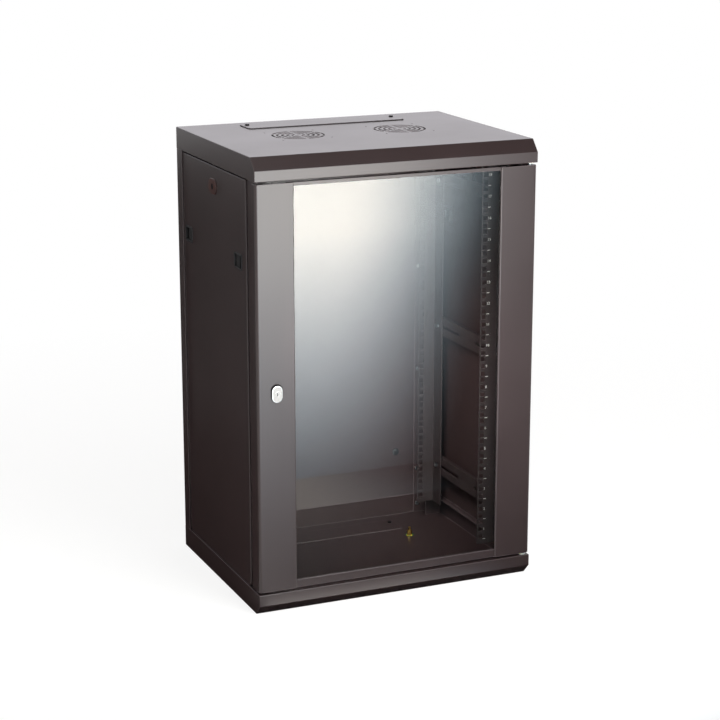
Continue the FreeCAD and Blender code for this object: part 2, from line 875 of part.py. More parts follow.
def make_hinge():
    spot = (hinge_x, hinge_y)
    save("hinge_bushes", bush(), turned_over(bush()))

    bore_radius = hinge_pin_radius + pin_gap
    block = hinge_block(lower_ear_z - ear_thickness, door_top_z)
    clear_x = (hinge_x - hinge_block_inner, door_edge_x)
    clear_y = (door_front_y + sheet + block_wall, door_rear_y)
    block = block.cut(box(clear_x, clear_y, (lower_ear_z, door_top_z - ear_thickness)))
    block = block.cut(rod("z", *spot, lower_ear_z - ear_thickness, door_top_z, bore_radius))
    save("upper_hinge_block", block)

    pin = rod("z", *spot, pin_tail_z, upper_pin_top_z, hinge_pin_radius)
    collar = rod("z", *spot, pin_collar_z - pin_collar_height, pin_collar_z, pin_collar_radius)
    knob = rod("z", *spot, pin_tail_z - knob_height, pin_tail_z, knob_radius)
    save("upper_hinge_pin", pin.fuse([collar, knob]).removeSplitter())
    save("hinge_spring", hinge_spring())

    block = hinge_block(door_low_z, door_low_z + lower_block_height)
    pin_end_z = door_low_z + lower_pin_depth
    save("lower_hinge_block", block.cut(rod("z", *spot, door_low_z, pin_end_z, bore_radius)))
    pin_low_z = cover_height - sheet - pin_reach
    pin = rod("z", *spot, pin_low_z, pin_end_z, hinge_pin_radius)
    shoulder_low_z = cover_height + bush_collar_height + slide_gap
    shoulder = rod("z", *spot, shoulder_low_z, door_low_z, hinge_pin_radius + pin_shoulder)
    save("lower_hinge_pin", pin.fuse(shoulder).removeSplitter())


# Door lock

def key_slot(plug, axis, spot, face, inward):
    """Cut the slot for the key into the face of a plug."""
    level = (face, face + inward * key_slot_depth)
    outline = plate_outline(spot, (key_slot_width, key_slot_length), key_slot_width / 4)
    return plug.cut(prism(axis, outline, min(level), max(level)))


def make_door_lock():
    spot = (lock_x, lock_z)
    size = (lock_face_width, lock_face_height)
    face = prism("y", slot_outline(spot, size), lock_front_y, lock_face_back_y)

    def on_front(bounds):
        return bounds.YMax < lock_front_y + 1e-6

    face = soften(face, lock_face_edge, on_front)
    barrel_end_y = cam_front_y - cam_gap
    barrel = rod("y", *spot, lock_face_back_y, barrel_end_y, lock_barrel_radius)
    bore = rod("y", *spot, lock_front_y, barrel_end_y, plug_radius + pin_gap)
    save("lock_body", face.fuse(barrel).cut(bore).removeSplitter())

    rim = 2 * lock_gasket_rim
    gasket_spot = (lock_x, lock_z + lock_gasket_shift)
    gasket_size = (lock_face_width + rim, lock_face_height + rim)
    gasket = prism("y", slot_outline(gasket_spot, gasket_size), lock_face_back_y, door_front_y)
    hole = rod("y", *spot, lock_face_back_y, door_front_y, lock_barrel_radius + screw_gap)
    save("lock_gasket", gasket.cut(hole))

    nut_y = door_front_y + sheet
    nut = hexagon("y", *spot, nut_y, nut_y + lock_nut_thickness, lock_nut_flats)
    hole = rod("y", *spot, nut_y, nut_y + lock_nut_thickness, lock_barrel_radius + pin_gap)
    save("lock_nut", nut.cut(hole))

    face_y = lock_front_y - plug_proud
    plug = rod("y", *spot, face_y, cam_front_y, plug_radius)
    plug = key_slot(plug, "y", spot, face_y, 1)
    cam_back_y = cam_front_y + cam_thickness
    plug = plug.fuse(rod("y", *spot, cam_front_y, cam_back_y, spigot_radius)).removeSplitter()
    save("lock_plug", plug)
    cam = prism("y", cam_outline(spot, cam_reach), cam_front_y, cam_back_y)
    cam = cam.cut(rod("y", *spot, cam_front_y, cam_back_y, spigot_radius + pin_gap))
    screw = hexagon("y", *spot, cam_back_y, cam_back_y + cam_screw_head, cam_screw_flats)
    save("lock_cam", cam, screw)


def cam_outline(spot, reach):
    """Cam plate that hangs down from the axis of a lock."""
    half = cam_width / 2
    tip = cam_width / 4
    left, right = spot[0] - half, spot[0] + half
    low, high = spot[1] - reach, spot[1] + half
    return [(left, low, tip), (right, low, tip), (right, high, half), (left, high, half)]


# Side panels with their latches and locks

def side_panel():
    """Pan with returns on all four edges, rounded lower corners and holes for latches and lock."""
    low, top = panel_low_z, panel_top_z

    def pan(inset, corner, back_x, front_x):
        outline = [
            (panel_front_y + inset, low + inset, corner),
            (panel_rear_y - inset, low + inset, corner),
            (panel_rear_y - inset, top - inset),
            (panel_front_y + inset, top - inset),
        ]
        return prism("x", outline, back_x, front_x)

    def on_face(bounds):
        return bounds.XMin > panel_x - 1e-6

    outer = soften(pan(0, panel_corner, panel_back_x, panel_x), panel_edge, on_face)
    shape = outer.cut(pan(sheet, panel_corner - sheet, panel_back_x, panel_x - sheet))
    face_x = (panel_x - sheet, panel_x)
    for middle_y, _ in latch_places.values():
        size = (latch_width + 2 * screw_gap, latch_height + 2 * screw_gap)
        outline = plate_outline((middle_y, latch_z), size, latch_corner + screw_gap)
        shape = shape.cut(prism("x", outline, *face_x))
    return shape.cut(rod("x", panel_middle_y, side_lock_z, *face_x, side_lock_radius + screw_gap))


def latch_housing(middle_y):
    """Cup set into the panel, with a rim outside and a slot in its floor."""
    spot = (middle_y, latch_z)
    rim_x = panel_x + latch_rim_thickness
    cup = prism("x", plate_outline(spot, (latch_width, latch_height), latch_corner), cup_back_x, panel_x)
    rim_size = (latch_width + 2 * latch_rim, latch_height + 2 * latch_rim)
    cup = cup.fuse(prism("x", plate_outline(spot, rim_size, latch_corner + latch_rim), panel_x, rim_x))
    inner_size = (latch_width - 2 * latch_wall, latch_height - 2 * latch_wall)
    inner = plate_outline(spot, inner_size, latch_corner - latch_wall)
    cup = cup.cut(prism("x", inner, cup_floor_x, rim_x))
    slot_y = around(middle_y, neck_size + latch_travel + 2 * slide_gap)
    slot_z = around(latch_z, neck_size + 2 * slide_gap)
    return cup.cut(box((cup_back_x, cup_floor_x), slot_y, slot_z)).removeSplitter()


def latch_slider(end):
    """Ribbed finger piece, neck and tongue, drawn back from the post by the latch's travel."""
    middle_y, outward = latch_places[end]
    rest_y = middle_y - outward * latch_travel / 2
    finger_x = (cup_floor_x + slide_gap, panel_x - finger_sink)
    finger_z = latch_height - 2 * (latch_wall + slide_gap)
    shape = box(finger_x, around(rest_y, finger_length), around(latch_z, finger_z))
    rib_x = (finger_x[1], finger_x[1] + rib_height)
    rib_pitch = finger_length / (finger_ribs + 1)
    for rib in range(finger_ribs):
        rib_y = rest_y - finger_length / 2 + rib_pitch * (rib + 1)
        shape = shape.fuse(box(rib_x, around(rib_y, rib_width), around(latch_z, finger_z)))
    neck_x = (tongue_x, finger_x[0])
    shape = shape.fuse(box(neck_x, around(rest_y, neck_size), around(latch_z, neck_size)))
    face_y = front_post_back_y if end == "front" else rear_post_y
    nose_y = face_y - outward * latch_nose_gap
    tongue_y = (rest_y - outward * neck_size / 2, nose_y)
    tongue = box((tongue_x, tongue_x + tongue_thickness), tongue_y, around(latch_z, tongue_width))
    return shape.fuse(tongue).removeSplitter()


def make_side_panels():
    save_pair("side_panel", side_panel())
    save_pair("latch_housings", *[latch_housing(middle_y) for middle_y, _ in latch_places.values()])
    for end in latch_places:
        save_pair(f"{end}_latch_slider", latch_slider(end))

    spot = (panel_middle_y, side_lock_z)
    face_x = panel_x + side_lock_thickness
    face = prism("x", slot_outline(spot, (side_lock_width, side_lock_height)), panel_x, face_x)

    def on_face(bounds):
        return bounds.XMin > face_x - 1e-6

    face = soften(face, side_lock_edge, on_face)
    barrel_x = panel_x - side_lock_barrel
    barrel = rod("x", *spot, barrel_x, panel_x, side_lock_radius)
    bore = rod("x", *spot, barrel_x, face_x, plug_radius + pin_gap)
    save_pair("side_lock", face.fuse(barrel).cut(bore).removeSplitter())

    cam_x = barrel_x - cam_gap
    cam_back_x = cam_x - cam_thickness
    plug_x = face_x + plug_proud
    plug = rod("x", *spot, cam_x, plug_x, plug_radius)
    plug = key_slot(plug, "x", spot, plug_x, -1)
    plug = plug.fuse(rod("x", *spot, cam_back_x, cam_x, spigot_radius)).removeSplitter()
    cam = prism("x", cam_outline(spot, side_cam_reach), cam_back_x, cam_x)
    cam = cam.cut(rod("x", *spot, cam_back_x, cam_x, spigot_radius + pin_gap))
    screw = hexagon("x", *spot, cam_back_x - cam_screw_head, cam_back_x, cam_screw_flats)
    save_pair("side_lock_cam", plug, cam, screw)


def main():
    os.makedirs("parts", exist_ok=True)
    make_covers()
    make_frame()
    make_rails()
    make_door_frame()
    make_hinge()
    make_door_lock()
    make_side_panels()


main()
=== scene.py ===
import bmesh
import bpy
import json
import math
from mathutils import Matrix, Vector


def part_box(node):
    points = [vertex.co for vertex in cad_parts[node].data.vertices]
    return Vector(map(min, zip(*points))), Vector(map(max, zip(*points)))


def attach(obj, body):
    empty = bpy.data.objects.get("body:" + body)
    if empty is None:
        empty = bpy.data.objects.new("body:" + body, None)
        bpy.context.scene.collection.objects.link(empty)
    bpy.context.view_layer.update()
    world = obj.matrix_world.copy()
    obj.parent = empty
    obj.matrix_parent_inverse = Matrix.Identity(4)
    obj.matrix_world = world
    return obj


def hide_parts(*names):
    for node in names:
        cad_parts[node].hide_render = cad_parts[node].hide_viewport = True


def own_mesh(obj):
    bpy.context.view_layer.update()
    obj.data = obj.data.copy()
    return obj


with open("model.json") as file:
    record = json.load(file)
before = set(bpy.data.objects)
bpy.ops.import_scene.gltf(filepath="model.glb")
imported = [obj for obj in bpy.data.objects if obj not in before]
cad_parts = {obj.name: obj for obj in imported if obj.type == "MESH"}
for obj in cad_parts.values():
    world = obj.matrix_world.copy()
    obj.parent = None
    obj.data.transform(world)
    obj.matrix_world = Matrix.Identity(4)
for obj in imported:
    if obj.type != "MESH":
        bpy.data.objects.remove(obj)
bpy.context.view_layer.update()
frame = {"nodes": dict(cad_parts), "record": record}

bl_info = {
    "name": "Wall rack cabinet",
    "version": (1, 0, 0),
    "blender": (4, 5, 0),
    "location": "View3D > Sidebar > Cabinet",
    "description": "Finishes, unit marks and studio for a 19-inch wall cabinet with a glass door",
    "category": "Object",
}

MM = 0.001
# Steel sheet of the covers and the back wall
SHEET = 1.5 * MM
# Colour sockets of Blender's Mix node, which share their names with its other sockets
MIX_A = 6
MIX_B = 7
MIX_RESULT = 2


def linear(code):
    """Turn an sRGB hex code into a linear colour with full opacity."""
    channels = []
    for start in (1, 3, 5):
        value = int(code[start:start + 2], 16) / 255
        channels.append(value / 12.92 if value <= 0.04045 else ((value + 0.055) / 1.055) ** 2.4)
    return (*channels, 1.0)


def per_metre(size_mm):
    """Texture scale that gives features of a size in millimetres."""
    return 1 / (size_mm * MM)


def colour_property(name, description, code):
    """Property for a colour, with an sRGB hex code as its default."""
    return bpy.props.FloatVectorProperty(
        name=name, description=description, subtype="COLOR", size=4, min=0, max=1, default=linear(code)
    )


def length_property(name, description, size_mm):
    """Property for a length, with millimetres as its default."""
    return bpy.props.FloatProperty(
        name=name, description=description, subtype="DISTANCE", unit="LENGTH", default=size_mm * MM
    )


# Sizes and colours that a user would change

class CabinetFinishes(bpy.types.PropertyGroup):
    """Colours of the cabinet's materials."""

    paint: colour_property("Paint", "Powder coat of the sheet steel", "#2A1F1F")
    # Edge colour: the thin coat over edges, and partly a painted highlight along them
    paint_edge: colour_property("Paint edge", "Powder coat where it runs thin over an edge", "#75686A")
    rail_paint: colour_property("Rail paint", "Matt powder coat of the rails and brackets", "#241C1C")
    glass: colour_property("Glass", "Tint of the door's pane", "#E2E4E2")
    rubber: colour_property("Rubber", "Gaskets of the pane and of the lock", "#0E0D0D")
    plastic: colour_property("Plastic", "Moulded latches of the side panels", "#121011")
    lacquer: colour_property("Lacquer", "Locks of the side panels", "#3B201B")
    chrome: colour_property("Chrome", "Door lock", "#ECEBE8")
    zinc: colour_property("Zinc", "Bolts, nuts, hinge pins and spring, and the door's cam", "#AEB1B4")
    # Black steel also fills the door lock's key slot, as painted shade for the slot's depth
    black_steel: colour_property("Black steel", "Cable cover screws, side cams, lock shutter", "#191617")
    nylon: colour_property("Nylon", "Bushes of the hinges", "#E4DFD2")
    brass: colour_property("Brass", "Earth stud", "#C9A24E")
    ink: colour_property("Ink", "Printed unit marks", "#DEDBD6")
    earth_yellow: colour_property("Earth yellow", "Light sectors of the earth mark", "#D9C832")
    earth_green: colour_property("Earth green", "Dark sectors of the earth mark", "#3E8A3A")


class CabinetMarks(bpy.types.PropertyGroup):
    """Sizes of what is printed in the cabinet."""

    figure_height: length_property("Figure height", "Height of a printed unit number", 5.5)
    line_length: length_property("Line length", "Length of the line under each rack unit", 6.0)
    line_width: length_property("Line width", "Width of that line", 1.1)
    ink_thickness: length_property("Ink thickness", "Thickness of the printed ink", 0.1)
    hole_clearance: length_property("Hole clearance", "From the edge of a square hole to the print", 1.2)
    earth_ring: length_property("Earth ring", "Outer radius of the earth mark", 8.0)


class CabinetStage(bpy.types.PropertyGroup):
    """Camera and studio around the cabinet."""

    camera_place: bpy.props.FloatVectorProperty(
        name="Camera place", description="Where the camera stands", subtype="TRANSLATION", unit="LENGTH",
        default=(-1.5955, -3.7232, 1.5116)
    )
    camera_heading: bpy.props.FloatProperty(
        name="Camera heading", description="Turn to the right of the depth axis", subtype="ANGLE",
        default=math.radians(23.391)
    )
    camera_pitch: bpy.props.FloatProperty(
        name="Camera pitch", description="Tilt down from level", subtype="ANGLE",
        default=math.radians(14.814)
    )
    camera_lens: bpy.props.FloatProperty(
        name="Camera lens", description="Focal length on a 36 mm sensor", subtype="DISTANCE_CAMERA",
        default=100.6
    )
    room_radius: length_property("Room radius", "Radius of the round white room", 6500)
    room_height: length_property("Room height", "Height of its wall", 4500)
    white: colour_property("White", "Floor and wall", "#F3F2F0")


def finish_colours():
    """Colours of the materials, as they are set now."""
    return bpy.context.scene.cabinet_finishes


# Helpers for materials and meshes

def add_node(tree, kind, inputs=None, **properties):
    """Add a node, set its properties, and set or link its inputs."""
    made = tree.nodes.new(kind)
    for name, value in properties.items():
        setattr(made, name, value)
    for name, value in (inputs or {}).items():
        if isinstance(value, bpy.types.NodeSocket):
            tree.links.new(value, made.inputs[name])
        else:
            made.inputs[name].default_value = value
    return made


def new_material(name):
    """Material with an empty node tree, and that tree."""
    material = bpy.data.materials.new(name)
    material.use_nodes = True
    material.node_tree.nodes.clear()
    return material, material.node_tree


def close_material(tree, inputs):
    """Give a material its surface shader and its output."""
    shader = add_node(tree, "ShaderNodeBsdfPrincipled", inputs)
    add_node(tree, "ShaderNodeOutputMaterial", {"Surface": shader.outputs["BSDF"]})


def drifting(tree, colour, pattern, low, high, span=(0.3, 0.7)):
    """Colour that a pattern dims or lifts between two shares over the middle of its range."""
    tone = add_node(
        tree, "ShaderNodeMapRange",
        {"Value": pattern, "From Min": span[0], "From Max": span[1], "To Min": low, "To Max": high}
    )
    shade = add_node(
        tree, "ShaderNodeVectorMath", {0: colour[:3], "Scale": tone.outputs["Result"]}, operation="SCALE"
    )
    return shade.outputs["Vector"]


def thin_at_edges(tree, coat, bare_and_highlight, radius, most, samples):
    """Colour of a coat that runs thin over its rounded edges, paler there partly as a painted highlight, and
    the normal that rounds them.
    """
    rounded = add_node(tree, "ShaderNodeBevel", {"Radius": radius}, samples=samples)
    flat = add_node(tree, "ShaderNodeNewGeometry")
    facing = add_node(
        tree, "ShaderNodeVectorMath",
        {0: rounded.outputs["Normal"], 1: flat.outputs["Normal"]}, operation="DOT_PRODUCT"
    )
    # How far the rounded normal turns from the flat one gives the share of the pale edge colour, partly a
    # painted highlight
    edge = add_node(
        tree, "ShaderNodeMapRange",
        {"Value": facing.outputs["Value"], "From Min": 1.0, "From Max": 0.9, "To Min": 0.0, "To Max": most}
    )
    colour = add_node(
        tree, "ShaderNodeMix", {"Factor": edge.outputs["Result"], MIX_A: coat, MIX_B: bare_and_highlight}, data_type="RGBA"
    )
    return colour.outputs[MIX_RESULT], rounded.outputs["Normal"]


def finish(make, *nodes):
    """Return the material that a function makes, made once, and give it to CAD nodes."""
    name = make.__name__
    material = bpy.data.materials.get(name) or make(name)
    for node in nodes:
        mesh = frame["nodes"][node].data
        mesh.materials.clear()
        mesh.materials.append(material)
    return material


def both_sides(*names):
    """Names of nodes that stand on the left and on the right."""
    return [f"{side}_{name}" for side in ("left", "right") for name in names]


def mesh_piece(name, mesh, material, body):
    """Link a mesh as a piece that rides on a body."""
    piece = bpy.data.objects.new(name, mesh)
    bpy.context.scene.collection.objects.link(piece)
    mesh.materials.append(material)
    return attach(piece, body)


def mesh_of(shape, name):
    """Turn a finished bmesh into a mesh."""
    mesh = bpy.data.meshes.new(name)
    shape.to_mesh(mesh)
    shape.free()
    return mesh


def turned(profile, sides=48):
    """Solid turned about the upright axis from points of radius and height."""
    shape = bmesh.new()
    points = [shape.verts.new((radius, 0, height)) for radius, height in profile]
    lines = [shape.edges.new(pair) for pair in zip(points, points[1:])]
    bmesh.ops.spin(
        shape, geom=points + lines, axis=(0, 0, 1), cent=(0, 0, 0), steps=sides, angle=2 * math.pi,
        use_merge=True
    )
    bmesh.ops.remove_doubles(shape, verts=shape.verts, dist=0.001 * MM)
    bmesh.ops.recalc_face_normals(shape, faces=shape.faces)
    return shape


# Materials

def semi_gloss_powder_coat(name):
    """Sprayed and baked polyester powder: a satin skin with orange peel; its edges are paler where the coat
    runs thin and carry a painted highlight.
    """
    colours = finish_colours()
    material, tree = new_material(name)
    place = add_node(tree, "ShaderNodeTexCoord").outputs["Object"]
    # Real orange peel repeats every 1.5 mm or so, and is drawn at 5 mm to show at all
    peel = add_node(tree, "ShaderNodeTexNoise", {"Vector": place, "Scale": per_metre(5), "Detail": 2.0})
    cloud = add_node(tree, "ShaderNodeTexNoise", {"Vector": place, "Scale": per_metre(160), "Detail": 3.0})
    coat = drifting(tree, colours.paint, cloud.outputs["Fac"], 0.95, 1.05)
    # Edges turn pale where the coat runs thin, which also paints a highlight along them
    colour, normal = thin_at_edges(tree, coat, colours.paint_edge, radius=1.3 * MM, most=0.7, samples=6)
    rough = add_node(
        tree, "ShaderNodeMapRange",
        {"Value": cloud.outputs["Fac"], "From Min": 0.3, "From Max": 0.7, "To Min": 0.365, "To Max": 0.395}
    )
    bump = add_node(
        tree, "ShaderNodeBump",
        {"Strength": 0.12, "Distance": 0.15 * MM, "Height": peel.outputs["Fac"], "Normal": normal}
    )
    close_material(tree, {
        "Base Color": colour, "Roughness": rough.outputs["Result"], "IOR": 1.5,
        "Normal": bump.outputs["Normal"],
    })
    return material


def matt_powder_coat(name):
    """Fine-textured powder on the rails: darker and flatter than the shell, paler at its edges and the
    holes' edges, partly where the coat is rubbed thin and partly as a painted highlight.
    """
    colours = finish_colours()
    material, tree = new_material(name)
    place = add_node(tree, "ShaderNodeTexCoord").outputs["Object"]
    # Texture grains of 0.5 mm are drawn at 2.5 mm to show
    grain = add_node(tree, "ShaderNodeTexNoise", {"Vector": place, "Scale": per_metre(2.5), "Detail": 3.0})
    # Edges and hole edges get a faint pale tint, partly a painted highlight
    colour, normal = thin_at_edges(
        tree, colours.rail_paint, colours.paint_edge, radius=0.8 * MM, most=0.15, samples=4
    )
    rough = add_node(
        tree, "ShaderNodeMapRange", {"Value": grain.outputs["Fac"], "To Min": 0.42, "To Max": 0.6}
    )
    bump = add_node(
        tree, "ShaderNodeBump",
        {"Strength": 0.25, "Distance": 0.2 * MM, "Height": grain.outputs["Fac"], "Normal": normal}
    )
    close_material(tree, {
        "Base Color": colour, "Roughness": rough.outputs["Result"], "IOR": 1.5,
        "Normal": bump.outputs["Normal"],
    })
    return material


def toughened_float_glass(name):
    """Polished float glass that was heated and quenched: clear, faintly grey, with a slow roller wave."""
    colours = finish_colours()
    material, tree = new_material(name)
    place = add_node(tree, "ShaderNodeTexCoord").outputs["Object"]
    # The rollers of the furnace leave a wave of about 250 mm
    wave = add_node(tree, "ShaderNodeTexNoise", {"Vector": place, "Scale": per_metre(250), "Detail": 0.0})
    haze = add_node(tree, "ShaderNodeTexNoise", {"Vector": place, "Scale": per_metre(60), "Detail": 4.0})
    rough = add_node(
        tree, "ShaderNodeMapRange",
        {"Value": haze.outputs["Fac"], "From Min": 0.45, "From Max": 0.8, "To Min": 0.0, "To Max": 0.03}
    )
    bump = add_node(
        tree, "ShaderNodeBump", {"Strength": 0.03, "Distance": 1 * MM, "Height": wave.outputs["Fac"]}
    )
    pane = add_node(tree, "ShaderNodeBsdfPrincipled", {
        "Base Color": colours.glass, "Roughness": rough.outputs["Result"], "IOR": 1.52,
        "Transmission Weight": 1.0, "Normal": bump.outputs["Normal"],
    })
    # A thin pane casts hardly any shadow
    ray = add_node(tree, "ShaderNodeLightPath")
    clear = add_node(tree, "ShaderNodeBsdfTransparent")
    both = add_node(
        tree, "ShaderNodeMixShader",
        {"Fac": ray.outputs["Is Shadow Ray"], 1: pane.outputs["BSDF"], 2: clear.outputs["BSDF"]}
    )
    add_node(tree, "ShaderNodeOutputMaterial", {"Surface": both.outputs["Shader"]})
    return material


def extruded_rubber(name):
    """Extruded EPDM: near black and dull, with fine lines along its length and a dusty bloom."""
    colours = finish_colours()
    material, tree = new_material(name)
    place = add_node(tree, "ShaderNodeTexCoord").outputs["Object"]
    # Drag marks of the die are 0.8 mm wide and drawn out fifty times along the upright strips
    lines = add_node(tree, "ShaderNodeMapping", {"Vector": place, "Scale": (1.0, 1.0, 0.02)})
    drag = add_node(
        tree, "ShaderNodeTexNoise",
        {"Vector": lines.outputs["Vector"], "Scale": per_metre(0.8), "Detail": 2.0}
    )
    bloom = add_node(tree, "ShaderNodeTexNoise", {"Vector": place, "Scale": per_metre(30), "Detail": 4.0})
    rough = add_node(
        tree, "ShaderNodeMapRange", {"Value": bloom.outputs["Fac"], "To Min": 0.75, "To Max": 0.95}
    )
    bump = add_node(
        tree, "ShaderNodeBump", {"Strength": 0.3, "Distance": 0.1 * MM, "Height": drag.outputs["Fac"]}
    )
    close_material(tree, {
        "Base Color": colours.rubber, "Roughness": rough.outputs["Result"], "IOR": 1.52,
        "Specular IOR Level": 0.12, "Normal": bump.outputs["Normal"],
    })
    return material


def moulded_abs(name):
    """Black ABS from an eroded mould: an even fine grain that breaks up the shine."""
    colours = finish_colours()
    material, tree = new_material(name)
    place = add_node(tree, "ShaderNodeTexCoord").outputs["Object"]
    # Spark-eroded grain of 0.3 mm, drawn at 1.2 mm to show
    grain = add_node(tree, "ShaderNodeTexVoronoi", {"Vector": place, "Scale": per_metre(1.2)})
    rounded = add_node(tree, "ShaderNodeBevel", {"Radius": 0.7 * MM}, samples=4)
    rough = add_node(
        tree, "ShaderNodeMapRange", {"Value": grain.outputs["Distance"], "To Min": 0.38, "To Max": 0.55}
    )
    bump = add_node(
        tree, "ShaderNodeBump",
        {"Strength": 0.2, "Distance": 0.1 * MM, "Height": grain.outputs["Distance"],
         "Normal": rounded.outputs["Normal"]}
    )
    close_material(tree, {
        "Base Color": colours.plastic, "Roughness": rough.outputs["Result"], "IOR": 1.53,
        "Normal": bump.outputs["Normal"],
    })
    return material


def lacquered_lock_steel(name):
    """Stamped steel under a reddish-brown stoving lacquer: glossy, a little uneven where it flowed."""
    colours = finish_colours()
    material, tree = new_material(name)
    place = add_node(tree, "ShaderNodeTexCoord").outputs["Object"]
    flow = add_node(tree, "ShaderNodeTexNoise", {"Vector": place, "Scale": per_metre(9), "Detail": 3.0})
    rounded = add_node(tree, "ShaderNodeBevel", {"Radius": 0.8 * MM}, samples=4)
    colour = drifting(tree, colours.lacquer, flow.outputs["Fac"], 0.8, 1.2)
    rough = add_node(
        tree, "ShaderNodeMapRange", {"Value": flow.outputs["Fac"], "To Min": 0.25, "To Max": 0.4}
    )
    bump = add_node(
        tree, "ShaderNodeBump",
        {"Strength": 0.15, "Distance": 0.2 * MM, "Height": flow.outputs["Fac"],
         "Normal": rounded.outputs["Normal"]}
    )
    close_material(tree, {
        "Base Color": colour, "Roughness": rough.outputs["Result"], "IOR": 1.5,
        "Normal": bump.outputs["Normal"],
    })
    return material


def plated_metal(name, colour, spot_mm, roughness, change):
    """Plated or turned metal whose tone and gloss drift in spots of a given size."""
    material, tree = new_material(name)
    place = add_node(tree, "ShaderNodeTexCoord").outputs["Object"]
    spots = add_node(
        tree, "ShaderNodeTexNoise", {"Vector": place, "Scale": per_metre(spot_mm), "Detail": 4.0}
    )
    rounded = add_node(tree, "ShaderNodeBevel", {"Radius": 0.3 * MM}, samples=4)
    shade = drifting(tree, colour, spots.outputs["Fac"], 1 - change, 1.0)
    rough = add_node(
        tree, "ShaderNodeMapRange",
        {"Value": spots.outputs["Fac"], "To Min": roughness * 0.7, "To Max": roughness * 1.4}
    )
    close_material(tree, {
        "Base Color": shade, "Metallic": 1.0, "Roughness": rough.outputs["Result"],
        "Normal": rounded.outputs["Normal"],
    })
    return material


def chromed_zinc_casting(name):
    """Polished die casting under bright chrome: near white, with soft reflections."""
    return plated_metal(name, finish_colours().chrome, spot_mm=6, roughness=0.05, change=0.08)


def zinc_plated_steel(name):
    """Barrel-plated zinc with a clear passivation: pale blue-grey, in cloudy patches."""
    return plated_metal(name, finish_colours().zinc, spot_mm=4, roughness=0.32, change=0.25)


def blackened_steel(name):
    """Chemically blackened steel: dark, with an oily semi-gloss."""
    return plated_metal(name, finish_colours().black_steel, spot_mm=3, roughness=0.4, change=0.3)


def turned_brass(name):
    """Brass turned from bar: warm yellow, a little dulled."""
    return plated_metal(name, finish_colours().brass, spot_mm=3, roughness=0.28, change=0.2)


def moulded_nylon(name):
    """Natural nylon from a mould: waxy off-white that lets a little light in."""
    colours = finish_colours()
    material, tree = new_material(name)
    place = add_node(tree, "ShaderNodeTexCoord").outputs["Object"]
    cloud = add_node(tree, "ShaderNodeTexNoise", {"Vector": place, "Scale": per_metre(4), "Detail": 2.0})
    rough = add_node(
        tree, "ShaderNodeMapRange", {"Value": cloud.outputs["Fac"], "To Min": 0.4, "To Max": 0.55}
    )
    close_material(tree, {
        "Base Color": colours.nylon, "Roughness": rough.outputs["Result"], "IOR": 1.53,
        "Subsurface Weight": 0.2, "Subsurface Scale": 1 * MM,
    })
    return material


def screen_printed_ink(name):
    """White ink pushed through a mesh screen: matt, a little starved in places."""
    colours = finish_colours()
    material, tree = new_material(name)
    place = add_node(tree, "ShaderNodeTexCoord").outputs["Object"]
    starved = add_node(
        tree, "ShaderNodeTexNoise", {"Vector": place, "Scale": per_metre(1.5), "Detail": 3.0}
    )
    colour = drifting(tree, colours.ink, starved.outputs["Fac"], 0.8, 1.0, span=(0.3, 0.6))
    close_material(tree, {"Base Color": colour, "Roughness": 0.7, "IOR": 1.5})
    return material


def printed_earth_vinyl(name):
    """Printed vinyl ring round the earth stud: smooth, with hard-edged yellow and green sectors."""
    colours = finish_colours()
    sector_pairs = 4
    material, tree = new_material(name)
    place = add_node(tree, "ShaderNodeTexCoord").outputs["Generated"]
    centred = add_node(tree, "ShaderNodeVectorMath", {0: place, 1: (0.5, 0.5, 0.0)}, operation="SUBTRACT")
    turn = add_node(
        tree, "ShaderNodeTexGradient", {"Vector": centred.outputs["Vector"]}, gradient_type="RADIAL"
    )
    stripes = add_node(
        tree, "ShaderNodeMath", {0: turn.outputs["Fac"], 1: sector_pairs}, operation="MULTIPLY"
    )
    step = add_node(tree, "ShaderNodeMath", {0: stripes.outputs["Value"]}, operation="FRACT")
    side = add_node(tree, "ShaderNodeMath", {0: step.outputs["Value"], 1: 0.5}, operation="GREATER_THAN")
    colour = add_node(
        tree, "ShaderNodeMix",
        {"Factor": side.outputs["Value"], MIX_A: colours.earth_yellow, MIX_B: colours.earth_green},
        data_type="RGBA"
    )
    close_material(tree, {"Base Color": colour.outputs[MIX_RESULT], "Roughness": 0.45, "IOR": 1.5})
    return material


# Pieces

class CABINET_OT_covers(bpy.types.Operator):
    """Paint the top and bottom covers and their cable covers."""

    bl_idname = "cabinet.covers"
    bl_label = "Covers"

    def execute(self, context):
        finish(semi_gloss_powder_coat, "top_cover", "bottom_cover", "top_cable_cover", "bottom_cable_cover")
        return {"FINISHED"}


class CABINET_OT_posts(bpy.types.Operator):
    """Paint the four posts and the back wall."""

    bl_idname = "cabinet.posts"
    bl_label = "Posts and back wall"

    def execute(self, context):
        finish(semi_gloss_powder_coat, "rear_panel", *both_sides("front_post", "rear_post"))
        return {"FINISHED"}


class CABINET_OT_side_panels(bpy.types.Operator):
    """Paint the side panels and finish their locks and latches."""

    bl_idname = "cabinet.side_panels"
    bl_label = "Side panels"

    def execute(self, context):
        finish(semi_gloss_powder_coat, *both_sides("side_panel"))
        finish(lacquered_lock_steel, *both_sides("side_lock"))
        finish(blackened_steel, *both_sides("side_lock_cam"))
        finish(moulded_abs, *both_sides("latch_housings", "front_latch_slider", "rear_latch_slider"))
        return {"FINISHED"}


class CABINET_OT_door(bpy.types.Operator):
    """Paint the door's frame and glaze it."""

    bl_idname = "cabinet.door"
    bl_label = "Door"

    def execute(self, context):
        finish(semi_gloss_powder_coat, "door_left_profile", "door_right_profile", "door_top_rail",
               "door_bottom_rail", "glass_retainers", "upper_hinge_block", "lower_hinge_block")
        finish(toughened_float_glass, "door_glass")
        finish(extruded_rubber, "glass_gaskets")
        return {"FINISHED"}


